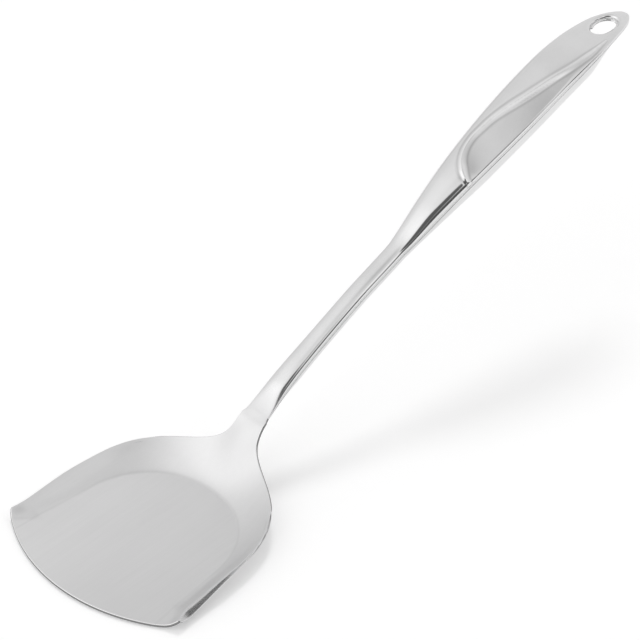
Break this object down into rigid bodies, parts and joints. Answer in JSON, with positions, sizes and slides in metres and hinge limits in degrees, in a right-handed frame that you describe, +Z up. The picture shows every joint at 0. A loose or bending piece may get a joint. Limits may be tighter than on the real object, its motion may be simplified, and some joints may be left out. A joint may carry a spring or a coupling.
{
  "type": "wok spatula",
  "caption": "All-steel wok spatula: curved-edge blade with a flared rim, rising neck and hollow two-shell handle with a leaf panel and a hanging hole.",
  "frame": {"origin": "centre of the blade's flat pan, on its underside", "axes": "+X from the blade's front edge to the handle's tail, +Y to the left side of the blade seen from the handle, +Z up out of the pan"},
  "size_m": [0.3549, 0.1028, 0.1161],
  "materials": {
    "satin_steel": "fine satin stainless steel sheet with polished cut edges",
    "polished_steel": "mirror-polished stainless steel",
    "ground_weld": "weld bead, ground flush and polished"
  },
  "bodies": {
    "root": {"blade": "satin_steel", "neck_weld": "ground_weld", "handle_top_shell": "polished_steel", "handle_bottom_shell": "polished_steel", "seam_weld_left": "ground_weld", "seam_weld_right": "ground_weld", "hole_weld": "ground_weld"}
  },
  "joints": []
}
